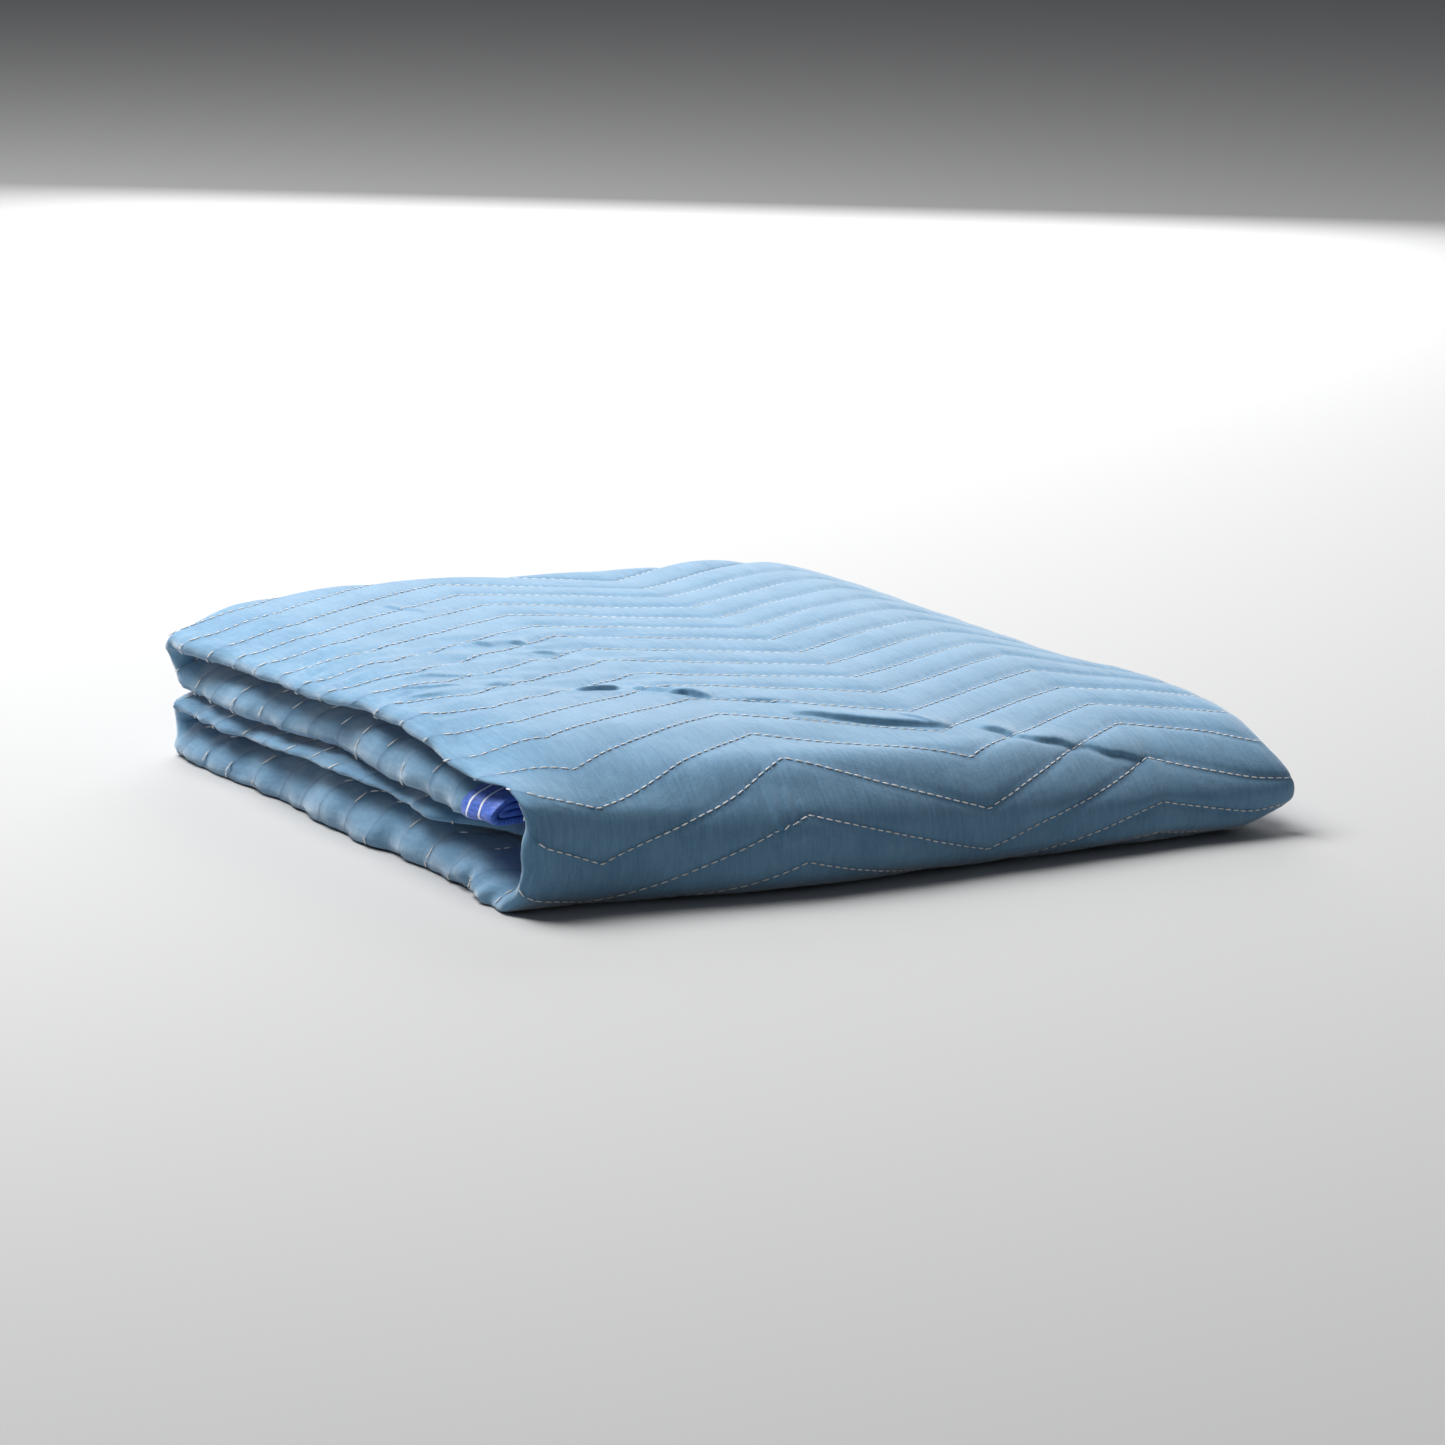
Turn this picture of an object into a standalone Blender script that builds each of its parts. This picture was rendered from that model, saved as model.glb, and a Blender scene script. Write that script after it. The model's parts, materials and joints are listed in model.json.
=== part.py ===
"""Moving blanket: a quilted sheet bound on four edges, folded to sixteen layers.

The sheet is cut flat as a closed slab, and then folded twice. Across its width it goes in half and in
half again, to a strip of four layers. Along its length the strip's two ends go to the middle, and the
strip closes over them like a book, so that one wide wrap shows at the front. The folded stack is then
pressed into the uneven crown that it lies in. Metres, +X to the right of the wrap, +Y to the back.
"""

import math

import bmesh
import bpy

MM = 0.001
HALF_TURN = math.pi
QUARTER_TURN = math.pi / 2

# The cut sheet
CUT_WIDTH = 2.032
CUT_LENGTH = 1.829
SHEET = 3.6 * MM
STITCHED_SHEET = 2.0 * MM
BOUND_SHEET = 1.2 * MM

# The tape that binds its edges
TAPE_WIDTH = 36 * MM
TAPE = 1.0 * MM
CLEARANCE = 0.3 * MM
STEP_OUT = 1.6 * MM
WELD = 0.01 * MM

# The fold across
LAYER_PITCH = 4.25 * MM
OUTER_TURN = 1.5 * LAYER_PITCH
INNER_TURN = 0.5 * LAYER_PITCH
STRIP_HALF = OUTER_TURN + SHEET / 2
SHORT_EDGE_IN = 4 * MM
FREE_EDGE_IN = 8 * MM
LEFT_TURN_X = STRIP_HALF
TURNS_ACROSS = HALF_TURN * (OUTER_TURN + 2 * INNER_TURN)
RUN_ACROSS = (CUT_WIDTH - TURNS_ACROSS + SHORT_EDGE_IN + FREE_EDGE_IN) / 4
RIGHT_TURN_X = LEFT_TURN_X + RUN_ACROSS

# The fold along
STRIP_PITCH = 4 * LAYER_PITCH + 2.2 * MM
BACK_TURN = STRIP_PITCH / 2
WRAP_TOP = 26 * MM
WRAP_LOW = 17.7 * MM
WRAP_FLAT = 3 * STRIP_PITCH - WRAP_TOP - WRAP_LOW
UPPER_END_Y = 32 * MM
LOWER_END_Y = 26 * MM
TOP_START_Y = WRAP_TOP + STRIP_HALF
LOW_START_Y = WRAP_LOW + STRIP_HALF
WRAP = QUARTER_TURN * (WRAP_TOP + WRAP_LOW) + WRAP_FLAT
TURNS_ALONG = 2 * HALF_TURN * BACK_TURN + WRAP
BACK_TURN_Y = (CUT_LENGTH - TURNS_ALONG + UPPER_END_Y + LOWER_END_Y + TOP_START_Y + LOW_START_Y) / 4
STACK = 3 * STRIP_PITCH + 2 * STRIP_HALF

# The quilting: rows of stitches that run across in a zigzag
ROW_PITCH = 31.75 * MM
ZIGZAG_REACH = 25 * MM
ZIGZAG_SLANT = 0.052
FIRST_LOW_X = 47 * MM
ZIGZAG_HALF_PERIOD = 124 * MM
ZIGZAG_FADE = 100 * MM
EXTRA_LINE_Y = 360 * MM

# The crown of the pressed stack, in millimetres: its height over each place across, by rows from the front
ACROSS_MM = {"left": 8, "low_1": 47, "high_1": 171, "low_2": 295, "high_2": 419, "right": 511}
CROWN_COLUMNS = ("y", "left", "low_1", "high_1", "low_2", "high_2", "right")
CROWN_MM = (
    (46, 71, 79, 70, 66, 57, 54),
    (75, 75, 85, 78, 72, 66, 60),
    (140, 86, 91, 86, 83, 78, 66),
    (270, 82, 93, 92, 90, 86, 62),
    (450, 78, 92, 97, 92, 90, 58),
)

# In millimetres, how far the wrap bows out at the front, and how far its top leans back
FRONT_ROWS = ("bow", "lean")
FRONT_MM = {
    "left": (0, 0),
    "low_1": (1, 1),
    "high_1": (16, 4),
    "low_2": (9, 3),
    "high_2": (2, 3),
    "right": (0, 2),
}
FRONT_FADE_Y = 140 * MM

# In millimetres, how far each strip's lip stands in from the left, with the size and phase of its ripple
LIP_COLUMNS = ("segment", "stands_in", "ripple", "phase")
LIPS_MM = (
    (0, 3.0, 1.2, 0.4),
    (2, -3.5, 2.0, 1.9),
    (6, 1.0, 1.5, 3.0),
    (8, -0.5, 1.2, 5.2),
)
RIPPLE_LENGTH = 190 * MM
LIP_HALF_SHARE = 0.55
LIP_FADE_X = ACROSS_MM["high_1"] * MM
# The strips share the height unevenly at the left, by these shares of three sines
LIP_SPREAD = (0.044, -0.012, 0.032)

OUTER_TURN_STEPS = 5
INNER_TURN_STEPS = 4
BACK_TURN_STEPS = 6

MATERIALS = {
    "quilted_cloth": ("#7C9CB4", 0.95),
    "binding_tape": ("#3F5FB4", 0.8),
}


def linear(hex_colour):
    """An sRGB hex colour as linear red, green, blue and alpha."""
    parts = [int(hex_colour[i : i + 2], 16) / 255 for i in (1, 3, 5)]
    return [c / 12.92 if c <= 0.04045 else ((c + 0.055) / 1.055) ** 2.4 for c in parts] + [1.0]


def material(name):
    """The plain material of a finish."""
    colour, roughness = MATERIALS[name]
    made = bpy.data.materials.get(name) or bpy.data.materials.new(name)
    made.use_nodes = True
    shader = made.node_tree.nodes["Principled BSDF"]
    shader.inputs["Base Color"].default_value = linear(colour)
    shader.inputs["Roughness"].default_value = roughness
    shader.inputs["Metallic"].default_value = 0.0
    return made


def between(value, places, levels):
    """The level at a value, on straight lines between the places."""
    if value <= places[0]:
        return levels[0]
    for k in range(1, len(places)):
        if value <= places[k]:
            share = (value - places[k - 1]) / (places[k] - places[k - 1])
            return levels[k - 1] + share * (levels[k] - levels[k - 1])
    return levels[-1]


def walk(start, heading, segments, distance):
    """The place and heading at a distance along a path of straight runs and round turns.

    A segment is its length and the angle that it turns by, anticlockwise.
    """
    a, b = start
    last = len(segments) - 1
    for k, (length, turn) in enumerate(segments):
        step = distance if k == last else min(distance, length)
        if turn:
            radius = length / turn
            end = heading + step / radius
            a += radius * (math.sin(end) - math.sin(heading))
            b -= radius * (math.cos(end) - math.cos(heading))
            heading = end
        else:
            a += step * math.cos(heading)
            b += step * math.sin(heading)
        distance -= step
        if distance <= 0:
            break
    return a, b, heading


ACROSS = (
    (RUN_ACROSS - SHORT_EDGE_IN, 0),
    (HALF_TURN * OUTER_TURN, -HALF_TURN),
    (RUN_ACROSS, 0),
    (HALF_TURN * INNER_TURN, -HALF_TURN),
    (RUN_ACROSS, 0),
    (HALF_TURN * INNER_TURN, HALF_TURN),
    (RUN_ACROSS - FREE_EDGE_IN, 0),
)
ALONG = (
    (BACK_TURN_Y - UPPER_END_Y, 0),
    (HALF_TURN * BACK_TURN, HALF_TURN),
    (BACK_TURN_Y - TOP_START_Y, 0),
    (QUARTER_TURN * WRAP_TOP, QUARTER_TURN),
    (WRAP_FLAT, 0),
    (QUARTER_TURN * WRAP_LOW, QUARTER_TURN),
    (BACK_TURN_Y - LOW_START_Y, 0),
    (HALF_TURN * BACK_TURN, HALF_TURN),
    (BACK_TURN_Y - LOWER_END_Y, 0),
)


def starts(segments):
    """The distance at which each segment of a path begins, and the end of the last."""
    found = [0.0]
    for length, _ in segments:
        found.append(found[-1] + length)
    return found


ACROSS_AT = starts(ACROSS)
ALONG_AT = starts(ALONG)
TOP_AT, WRAP_AT, FRONT_AT, BOTTOM_AT = ALONG_AT[2], ALONG_AT[3], ALONG_AT[5], ALONG_AT[6]
ROW_AT_FRONT = FRONT_AT - ZIGZAG_REACH + ZIGZAG_SLANT * FIRST_LOW_X


def column(names, rows, name):
    """One named column of a table."""
    return [row[names.index(name)] for row in rows]


def across_places(names):
    """The places across that a table's columns stand for, in metres."""
    return [ACROSS_MM[name] * MM for name in names]


def crown(x, y):
    """The height of the pressed stack over a place."""
    places = across_places(CROWN_COLUMNS[1:])
    rows = [at * MM for at in column(CROWN_COLUMNS, CROWN_MM, "y")]
    levels = [between(x, places, row[1:]) for row in CROWN_MM]
    return between(y, rows, levels) * MM


def front(x, what):
    """How far the wrap bows out or leans back at a place across."""
    levels = [pair[FRONT_ROWS.index(what)] for pair in FRONT_MM.values()]
    return between(x, across_places(FRONT_MM), levels) * MM


def zigzag(x, along):
    """How far a row of stitches is moved along the cloth at a place across."""
    phase = (x - FIRST_LOW_X) / ZIGZAG_HALF_PERIOD
    swing = 4 * abs(phase / 2 - math.floor(phase / 2 + 0.5)) - 1
    full = between(
        along,
        (TOP_AT, TOP_AT + ZIGZAG_FADE, WRAP_AT - ZIGZAG_FADE, WRAP_AT),
        (0, 1, 1, 0),
    )
    return -full * (ZIGZAG_REACH * swing + ZIGZAG_SLANT * x)


def lip(along):
    """How far the left lip stands in at a place along the cloth."""
    segments = column(LIP_COLUMNS, LIPS_MM, "segment")
    ends = [at for k in segments for at in ALONG_AT[k : k + 2]]
    middles = [(ALONG_AT[k] + ALONG_AT[k + 1]) / 2 for k in segments]
    stands_in = [size for size in column(LIP_COLUMNS, LIPS_MM, "stands_in") for _ in range(2)]
    ripple = between(along, middles, column(LIP_COLUMNS, LIPS_MM, "ripple"))
    phase = between(along, middles, column(LIP_COLUMNS, LIPS_MM, "phase"))
    wave = ripple * math.sin(2 * math.pi * along / RIPPLE_LENGTH + phase)
    return (between(along, ends, stands_in) + wave) * MM


def folded(across, along, normal):
    """Where a point of the flat sheet lies once the sheet is folded and pressed."""
    x, level, heading = walk((RIGHT_TURN_X - SHORT_EDGE_IN, -OUTER_TURN), HALF_TURN, ACROSS, across)
    x -= normal * math.sin(heading)
    level += normal * math.cos(heading)
    along += zigzag(min(max(x, LEFT_TURN_X), RIGHT_TURN_X), along)
    y, z, heading = walk((UPPER_END_Y, STRIP_HALF + 2 * STRIP_PITCH), 0, ALONG, along)
    y += level * math.sin(heading)
    z -= level * math.cos(heading)
    return pressed(x, y, z, along)


def pressed(x, y, z, along):
    """A point of the neat stack, moved to where it lies in the uneven one."""
    share = z / STACK
    spread = between(x, (LEFT_TURN_X, LIP_FADE_X), (1, 0))
    for k, size in enumerate(LIP_SPREAD):
        share += spread * size * math.sin((k + 1) * math.pi * z / STACK)
    at_front = between(y, (TOP_START_Y, FRONT_FADE_Y), (1, 0))
    on_top = between(along, (TOP_AT - WELD, TOP_AT, WRAP_AT, FRONT_AT), (0, 1, 1, 0))
    at_left = between(x, (LEFT_TURN_X, ACROSS_MM["low_1"] * MM, LIP_FADE_X), (1, LIP_HALF_SHARE, 0))
    return (
        x + at_left * lip(along),
        y + at_front * (on_top * front(x, "lean") - front(x, "bow")),
        share * crown(x, y),
    )


def turn_lines(at, segment, steps):
    """Evenly spread lines over one turn of a path."""
    return [at[segment] + k / steps * (at[segment + 1] - at[segment]) for k in range(steps + 1)]


def lines_across():
    """The lines of the sheet's mesh across its width, run by run."""
    stations = across_places(("low_1", "high_1", "low_2", "high_2"))
    tape_edge = TAPE_WIDTH + CLEARANCE
    short_end = RIGHT_TURN_X - SHORT_EDGE_IN
    last = ACROSS_AT[7]
    lines = [0.0, tape_edge, tape_edge + STEP_OUT]
    lines += [short_end - x for x in reversed(stations)]
    lines += turn_lines(ACROSS_AT, 1, OUTER_TURN_STEPS)
    lines += [ACROSS_AT[2] + x - LEFT_TURN_X for x in stations + [short_end - tape_edge]]
    lines += turn_lines(ACROSS_AT, 3, INNER_TURN_STEPS)
    lines += [ACROSS_AT[4] + RIGHT_TURN_X - x for x in [short_end - tape_edge] + stations[::-1]]
    lines += turn_lines(ACROSS_AT, 5, INNER_TURN_STEPS)
    lines += [ACROSS_AT[6] + x - LEFT_TURN_X for x in stations]
    return lines + [last - tape_edge - STEP_OUT, last - tape_edge, last]


def row_lines():
    """The stitch rows over the top and the wrap, and the lines between them."""
    rows_behind = math.floor((ROW_AT_FRONT - TOP_AT) / ROW_PITCH) - 1
    at = ROW_AT_FRONT - rows_behind * ROW_PITCH
    is_row = True
    lines = []
    while at < BOTTOM_AT + ROW_PITCH:
        lines.append((at, is_row and at < BOTTOM_AT))
        tight = FRONT_AT - ROW_PITCH / 4 < at < BOTTOM_AT - ROW_PITCH / 8
        at += ROW_PITCH / 4 if tight else ROW_PITCH / 2
        is_row = not is_row
    return lines


def lines_along():
    """The lines of the sheet's mesh along its length, with a mark on each that is a stitch row."""
    first, *stations = [y * MM for y in column(CROWN_COLUMNS, CROWN_MM, "y")][:-1]
    stations.append(EXTRA_LINE_Y)
    tape_edge = TAPE_WIDTH + CLEARANCE
    before = [0.0, first - UPPER_END_Y, tape_edge, tape_edge + STEP_OUT]
    before += [y - UPPER_END_Y for y in stations]
    before += turn_lines(ALONG_AT, 1, BACK_TURN_STEPS)
    after = [BOTTOM_AT + y - LOW_START_Y for y in stations[1:]]
    after += turn_lines(ALONG_AT, 7, BACK_TURN_STEPS)
    after += [ALONG_AT[8] + BACK_TURN_Y - y for y in reversed(stations)]
    after += [ALONG_AT[9] - at for at in (tape_edge + STEP_OUT, tape_edge, first - LOWER_END_Y, 0.0)]
    return [(at, False) for at in before] + row_lines() + [(at, False) for at in after]


def half_thickness(across, along, is_row):
    """Half the sheet's thickness: thin in the binding, and drawn in at a stitch row."""
    tape_edge = TAPE_WIDTH + CLEARANCE + STEP_OUT / 2
    edge = min(across, ACROSS_AT[7] - across, along, ALONG_AT[9] - along)
    if edge < tape_edge:
        return BOUND_SHEET / 2
    return (STITCHED_SHEET if is_row else SHEET) / 2


def finish(name, mesh, finish_name, collection):
    """A closed mesh made an object that faces outwards."""
    bmesh.ops.recalc_face_normals(mesh, faces=mesh.faces)
    if mesh.calc_volume(signed=True) < 0:
        bmesh.ops.reverse_faces(mesh, faces=mesh.faces)
    data = bpy.data.meshes.new(name)
    mesh.to_mesh(data)
    mesh.free()
    data.materials.append(material(finish_name))
    made = bpy.data.objects.new(name, data)
    collection.objects.link(made)
    return made


def split_faces(mesh, flat):
    """Each face split along the diagonal that lies the same way in every layer of the stack.

    Layers that lie close then bend along the same lines. flat gives each vertex's place on the sheet.
    """
    for face in list(mesh.faces):
        places = [flat[v] for v in face.verts]
        across = sum(place[0] for place in places) / len(places)
        along = sum(place[1] for place in places) / len(places)
        to_right = math.copysign(1, math.cos(walk((0, 0), HALF_TURN, ACROSS, across)[2]))
        to_back = math.copysign(1, math.cos(walk((0, 0), 0, ALONG, along)[2]))
        ahead = [
            to_right * math.copysign(1, place[0] - across) + to_back * math.copysign(1, place[1] - along)
            for place in places
        ]
        first = ahead.index(max(ahead))
        bmesh.utils.face_split(face, face.verts[first], face.verts[(first + 2) % len(places)])


def quilted_sheet(collection):
    """The sheet: a flat slab with its stitch rows drawn in, then folded."""
    across = lines_across()
    along = lines_along()
    columns, rows = len(across) - 1, len(along) - 1
    mesh = bmesh.new()
    bmesh.ops.create_grid(mesh, x_segments=columns, y_segments=rows, size=0.5)
    flat = {
        v: (across[round((v.co.x + 0.5) * columns)], along[round((v.co.y + 0.5) * rows)][0])
        for v in mesh.verts
    }
    split_faces(mesh, flat)
    bmesh.ops.solidify(mesh, geom=mesh.faces[:], thickness=1.0)
    middle = sum(v.co.z for v in mesh.verts) / len(mesh.verts)
    for v in mesh.verts:
        u = across[round((v.co.x + 0.5) * columns)]
        w, is_row = along[round((v.co.y + 0.5) * rows)]
        side = 1 if v.co.z > middle else -1
        v.co = folded(u, w, side * half_thickness(u, w, is_row))
    return finish("quilted_sheet", mesh, "quilted_cloth", collection)


def tape_section(edge, inwards, knees):
    """The points around the tape's section, which is folded over an edge and bends at the knees too."""
    inner = BOUND_SHEET / 2 + CLEARANCE
    outer = inner + TAPE
    near_in = edge - inwards * CLEARANCE
    near_out = near_in - inwards * TAPE
    far = edge + inwards * TAPE_WIDTH
    bends = [edge + inwards * knee for knee in knees]
    outwards = [far] + bends + [near_out]
    back = [far] + bends + [near_in]
    return (
        [(place, outer) for place in outwards]
        + [(place, -outer) for place in reversed(outwards)]
        + [(place, -inner) for place in back]
        + [(place, inner) for place in reversed(back)]
    )


def tape(name, stations, section, runs_across, collection):
    """A binding tape: its section set at each station, and folded with the sheet."""
    sides, steps = len(section), len(stations) - 1
    mesh = bmesh.new()
    bmesh.ops.create_grid(mesh, x_segments=sides, y_segments=steps, size=0.5)
    flat, normals = {}, {}
    for v in mesh.verts:
        place, normals[v] = section[round((v.co.x + 0.5) * sides) % sides]
        station = stations[round((v.co.y + 0.5) * steps)]
        flat[v] = (station, place) if runs_across else (place, station)
    split_faces(mesh, flat)
    for v in mesh.verts:
        v.co = folded(*flat[v], normals[v])
    bmesh.ops.remove_doubles(mesh, verts=mesh.verts, dist=WELD)
    bmesh.ops.holes_fill(mesh, edges=[e for e in mesh.edges if e.is_boundary], sides=sides)
    return finish(name, mesh, "binding_tape", collection)


def end_tapes(collection):
    """The two tapes over the ends of the strip, which lie inside the wrap."""
    butt = TAPE_WIDTH + CLEARANCE
    last = ACROSS_AT[7] - butt
    stations = [butt] + [u for u in lines_across() if butt + STEP_OUT < u < last - STEP_OUT] + [last]
    first_knot = CROWN_MM[0][0] * MM
    upper = tape_section(0, 1, [first_knot - UPPER_END_Y])
    lower = tape_section(ALONG_AT[9], -1, [first_knot - LOWER_END_Y])
    tape("end_binding_upper", stations, upper, True, collection)
    tape("end_binding_lower", stations, lower, True, collection)


def side_tapes(collection):
    """The two tapes along the long edges, which lie at the closed right side."""
    stations = [at for at, _ in lines_along()]
    tape("side_binding_first", stations, tape_section(0, 1, []), False, collection)
    tape("side_binding_second", stations, tape_section(ACROSS_AT[7], -1, []), False, collection)


def centre(collection):
    """The blanket placed with the middle of its underside at the origin."""
    points = [v.co for made in collection.objects for v in made.data.vertices]
    for axis in range(2):
        places = [point[axis] for point in points]
        for made in collection.objects:
            made.location[axis] = -(min(places) + max(places)) / 2


def main():
    for old in list(bpy.data.objects):
        bpy.data.objects.remove(old)
    collection = bpy.data.collections.new("moving_blanket")
    bpy.context.scene.collection.children.link(collection)
    quilted_sheet(collection)
    end_tapes(collection)
    side_tapes(collection)
    centre(collection)


main()
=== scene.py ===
"""Folded moving blanket: quilted cloth in its real folds, thread, binding tape and a plain studio stage.

The cloth is cut flat as a thin slab and laid in the same folds as its solid: in quarters across, then
its two ends to the middle, and closed like a book, so that one wide wrap shows at the front. Metres,
+X to the right along the wrap, +Y to the back, +Z up.
"""

import json
import math
from bisect import bisect_right

import bmesh
import bpy
from bpy.props import FloatProperty, PointerProperty, StringProperty
from mathutils import Matrix, Vector, noise

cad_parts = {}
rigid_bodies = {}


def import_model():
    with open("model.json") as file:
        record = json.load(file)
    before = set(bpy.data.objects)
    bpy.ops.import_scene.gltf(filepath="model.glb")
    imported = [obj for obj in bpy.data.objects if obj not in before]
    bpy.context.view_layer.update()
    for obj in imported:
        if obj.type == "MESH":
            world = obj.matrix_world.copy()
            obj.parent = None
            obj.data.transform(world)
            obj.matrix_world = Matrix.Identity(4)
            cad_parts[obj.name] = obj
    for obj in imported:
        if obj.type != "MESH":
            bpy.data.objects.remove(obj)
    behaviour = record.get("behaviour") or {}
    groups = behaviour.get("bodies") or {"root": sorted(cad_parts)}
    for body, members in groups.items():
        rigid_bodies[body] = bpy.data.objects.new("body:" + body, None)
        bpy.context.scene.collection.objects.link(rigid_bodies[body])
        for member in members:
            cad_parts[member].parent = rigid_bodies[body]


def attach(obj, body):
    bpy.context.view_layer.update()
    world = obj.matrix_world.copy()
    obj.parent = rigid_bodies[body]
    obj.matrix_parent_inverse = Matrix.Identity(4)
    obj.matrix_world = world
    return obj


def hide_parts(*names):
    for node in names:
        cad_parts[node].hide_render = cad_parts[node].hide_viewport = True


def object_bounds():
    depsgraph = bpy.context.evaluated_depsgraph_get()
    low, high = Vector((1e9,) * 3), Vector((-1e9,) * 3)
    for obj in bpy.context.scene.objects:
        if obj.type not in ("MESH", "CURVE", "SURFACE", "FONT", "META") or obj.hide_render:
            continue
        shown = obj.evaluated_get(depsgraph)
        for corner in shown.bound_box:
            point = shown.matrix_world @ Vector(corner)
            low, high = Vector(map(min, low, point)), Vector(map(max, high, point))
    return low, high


bl_info = {
    "name": "Folded Moving Blanket",
    "version": (1, 0, 0),
    "blender": (4, 5, 0),
    "location": "3D View > Sidebar > Blanket",
    "description": "Builds a folded quilted moving blanket with stitched rows and bound edges",
    "category": "Add Mesh",
}

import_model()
CAD_LOW, CAD_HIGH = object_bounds()

MM = 0.001
HALF_TURN = math.pi
QUARTER_TURN = math.pi / 2

# The fold across: four plies to a strip
LAYER_PITCH = 4.25 * MM
OUTER_TURN = 1.5 * LAYER_PITCH
INNER_TURN = 0.5 * LAYER_PITCH
STRIP_HALF = 8.175 * MM
SHORT_EDGE_IN = 4 * MM
FREE_EDGE_IN = 8 * MM

# The fold along: four strips to the stack
STRIP_PITCH = 19.2 * MM
BACK_TURN = STRIP_PITCH / 2
WRAP_TOP = 26 * MM
WRAP_LOW = 17.7 * MM
WRAP_FLAT = 3 * STRIP_PITCH - WRAP_TOP - WRAP_LOW
UPPER_END_Y = 32 * MM
LOWER_END_Y = 26 * MM
TOP_START_Y = WRAP_TOP + STRIP_HALF
LOW_START_Y = WRAP_LOW + STRIP_HALF
STACK = 3 * STRIP_PITCH + 2 * STRIP_HALF

# The height of the pressed stack in millimetres, by rows from the front
ACROSS_MM = (8, 47, 171, 295, 419, 511)
CROWN_Y_MM = (0, 10, 25, 46, 75, 140, 270, 450)
CROWN_MM = (
    (62, 62, 62, 57, 45, 46),
    (68, 66, 65, 61, 50, 50),
    (71, 72, 73, 67, 57, 56),
    (72, 81, 77, 70, 64, 63),
    (75, 88, 83, 75, 69, 67),
    (86, 91, 87, 83, 78, 69),
    (82, 93, 92, 90, 86, 62),
    (78, 92, 97, 92, 90, 61),
)
BOW_MM = (0, 1, 16, 9, 2, 0)
LEAN_MM = (0, 1, 4, 3, 3, 2)
FRONT_FADE_Y = 140 * MM

# How far each strip's lip stands in from the left, its ripple in millimetres, and its other shares
LIPS = (
    {"segment": 0, "stands_in": 4.0, "ripple": 1.2,
     "phase": 0.4, "pinch": 0.15, "crumple": 1.0, "droop": 0.55},
    {"segment": 2, "stands_in": -0.5, "ripple": 2.0,
     "phase": 1.9, "pinch": 0.12, "crumple": 0.9, "droop": 0.3},
    {"segment": 6, "stands_in": 4.0, "ripple": 1.5,
     "phase": 3.0, "pinch": 0.1, "crumple": 1.3, "droop": 0.8},
    {"segment": 8, "stands_in": 2.5, "ripple": 1.2,
     "phase": 5.2, "pinch": 0.22, "crumple": 1.5, "droop": 1.0},
)
LIP_TUCK = 36 * MM
LIP_TUCK_START = 100 * MM
LIP_TUCK_END = 45 * MM
LIP_SHOWN = 5 * MM
LIP_SHOWN_RUN = (40 * MM, 160 * MM)
LIP_FADE_X = 150 * MM
RIPPLE_LENGTH = 190 * MM
RIPPLE_X = (-10 * MM, 100 * MM)
WRAP_PINCH = 0.45
WRAP_PINCH_TOP = 30 * MM
WRAP_PINCH_LOW = (10 * MM, 50 * MM)
PINCH_X = (2 * MM, 50 * MM)
DROOP_X = (-2 * MM, 30 * MM)
CRUMPLE_X = (0.0, 35 * MM)
CORNER_CRUMPLE = 0.8
CORNER_IN = 20 * MM
CORNER_REACH = (20 * MM, 80 * MM)

# Uneven relief: each row has a height, its lengths along and beside, and two seeds
LIP_FLUTTER = ((1.8 * MM, 34 * MM, 1.0, 4.1, 0.0), (1.0 * MM, 14 * MM, 1.0, 7.7, 0.0))
LIP_CRUMPLE = ((2.8 * MM, 30 * MM, 14 * MM, 0.0, 5.5), (2.0 * MM, 14 * MM, 7 * MM, 0.0, 1.7))
LINE_WAVER_MM = ((1.8, 31, 1.0, 0.0, 1.1), (0.9, 13, 1.0, 0.0, 6.4))
LINE_SEED_STEP = 5.3
CREASE_WAVER = ((0.2, 11 * MM, 1.0, 0.0, 2.5),)
TOP_SWELL = ((1.2 * MM, 70 * MM, 50 * MM, 0.0, 3.7),)
TOP_SLACK = ((1.8 * MM, 34 * MM, 10.5 * MM, 0.0, 8.3),)
STITCH_SUNK = ((1.0, 7 * MM, 20 * MM, 0.0, 3.1),)
STITCH_WANDER = ((0.35 * MM, 12 * MM, 30 * MM, 0.0, 9.2),)

# Where the top swells and lies slack
SWELL_FROM = 0.55
SLACK_SKEW = 0.68
SLACK_X = (160 * MM, 260 * MM)
SLACK_FRONT_Y = (100 * MM, 160 * MM)
SLACK_BACK_Y = (280 * MM, 360 * MM)
FRONT_FADE_BEFORE = 20 * MM
TOP_LEAN_RUN = 50 * MM

# The rounding of the stack's closed right end
END_REACH = 50 * MM
END_ROUND = 11 * MM
END_RISE = 9 * MM
END_MIDDLE = 0.45
END_HALF = 0.5

# Where the zigzag dies out, and how its rows lean on the left lips
ZIGZAG_INNER = 70 * MM
ZIGZAG_UNDER_X = (-170 * MM, -60 * MM)
ZIGZAG_ENDS = (37 * MM, 160 * MM)
LIP_LEAN = 0.4
LIP_LEAN_X = 12 * MM
LIP_LEAN_RUN = 35 * MM

# The puff between two rows, as shares, and where it shows
FACE_BEFORE = 2 * MM
FACE_AFTER = 30 * MM
PUFF_ROUND = 0.55
PUFF_EVEN = 0.75
PUFF_ON_LIP = 0.1
PUFF_SINK = 0.35
PUFF_X = (-60 * MM, -20 * MM)
PUFF_TAUT = 0.3
TAUT_X = (120 * MM, 420 * MM)
BOUND_EDGE = (36.5 * MM, 42 * MM)

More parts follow.
